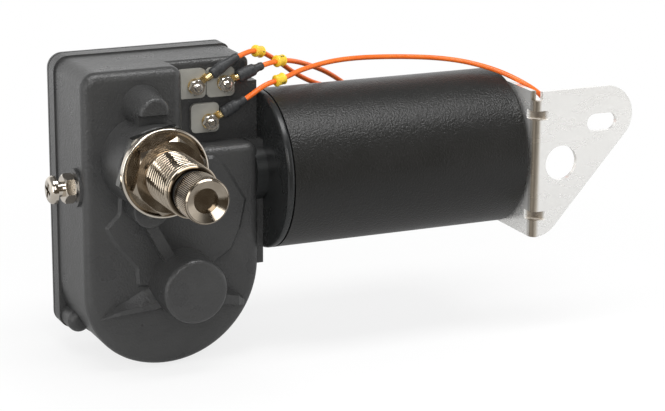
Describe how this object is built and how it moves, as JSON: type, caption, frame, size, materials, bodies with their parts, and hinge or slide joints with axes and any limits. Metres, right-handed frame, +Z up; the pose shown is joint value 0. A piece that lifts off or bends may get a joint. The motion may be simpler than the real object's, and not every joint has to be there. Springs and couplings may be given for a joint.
{
  "type": "wiper motor",
  "caption": "Wiper motor: permanent magnet tube motor with a worm gearbox, an internal linkage, a knurled wiper spindle in a threaded bush, and a bent end bracket.",
  "frame": {"origin": "on the spindle axis, in the plane between the back nut and the washer, where the mounting panel is clamped", "axes": "+X along the motor away from the gearbox, -Y along the spindle toward the wiper arm, +Z up"},
  "size_m": [0.2342, 0.1158, 0.1213],
  "materials": {
    "case_black": "fine textured black powder coat on cast metal",
    "tube_black": "satin black coat on drawn steel",
    "nickel": "bright nickel plate",
    "zinc": "bright zinc plate",
    "steel": "machined steel",
    "bracket_steel": "polished sheet steel",
    "bronze": "sintered bronze",
    "brass": "stamped brass",
    "copper": "enamelled copper",
    "ferrite": "ground ferrite",
    "carbon": "carbon",
    "grey_plastic": "moulded grey",
    "wheel_plastic": "moulded natural nylon",
    "sleeve_black": "shrunk tubing",
    "lead_orange": "extruded insulation",
    "marker_yellow": "moulded sleeve",
    "gasket": "pressed sheet",
    "rubber": "moulded"
  },
  "bodies": {
    "gearbox": {"gearbox_housing": "case_black", "gearbox_cover": "case_black", "cover_gasket": "gasket", "cover_screws": "zinc", "spindle_bush": "nickel", "spindle_bearing_front": "bronze", "spindle_bearing_rear": "bronze", "spindle_seal": "rubber", "back_nut": "zinc", "mounting_washer": "nickel", "mounting_nut": "nickel", "wheel_stud": "steel", "wheel_clip": "steel", "shaft_bush_left": "bronze", "shaft_bush_gearbox": "bronze", "thrust_pad": "grey_plastic", "adjuster_screw": "zinc", "adjuster_lock_nut": "zinc", "motor_tube": "tube_black", "motor_front_bell": "tube_black", "motor_end_cap": "tube_black", "rear_bearing": "bronze", "magnets": "ferrite", "brush_holder": "grey_plastic", "brushes": "carbon", "brush_springs": "steel", "tie_bolts": "steel", "tie_nuts": "zinc", "mounting_bracket": "bracket_steel", "terminal_pads": "grey_plastic", "terminal_studs": "nickel", "terminal_nuts": "nickel", "ring_terminals": "brass", "heat_shrink_sleeves": "sleeve_black", "lead_1": "lead_orange", "lead_2": "lead_orange", "lead_3": "lead_orange", "lead_markers": "marker_yellow", "lead_grommet": "rubber"},
    "armature": {"worm_shaft": "steel", "armature_core": "steel", "armature_windings": "copper", "commutator": "copper"},
    "wheel": {"worm_wheel": "wheel_plastic"},
    "spindle": {"wiper_spindle": "nickel", "spindle_lever": "steel", "spindle_clip": "steel", "link_pin": "steel"},
    "link": {"connecting_link": "steel", "crank_pin": "steel"}
  },
  "joints": [
    {"name": "armature_spin", "type": "hinge", "parent": "gearbox", "child": "armature", "pos_m": [0.05, 0.0319, -0.0111], "axis": [1, 0, 0], "continuous": true},
    {"name": "wheel_spin", "type": "hinge", "parent": "gearbox", "child": "wheel", "pos_m": [0.0112, 0.0319, -0.0467], "axis": [0, 1, 0], "continuous": true},
    {"name": "spindle_swing", "type": "hinge", "parent": "gearbox", "child": "spindle", "pos_m": [0, 0, 0], "axis": [0, 1, 0], "range_deg": [-40, 40]},
    {"name": "link_pivot", "type": "hinge", "parent": "spindle", "child": "link", "pos_m": [-0.01333, 0.0428, -0.00689], "axis": [0, 1, 0], "range_deg": [-40, 40]}
  ],
  "couplings": [
    {"joint": "wheel_spin", "follows": "armature_spin", "ratio": -0.020833},
    {"joint": "link_pivot", "follows": "spindle_swing", "ratio": -1}
  ]
}
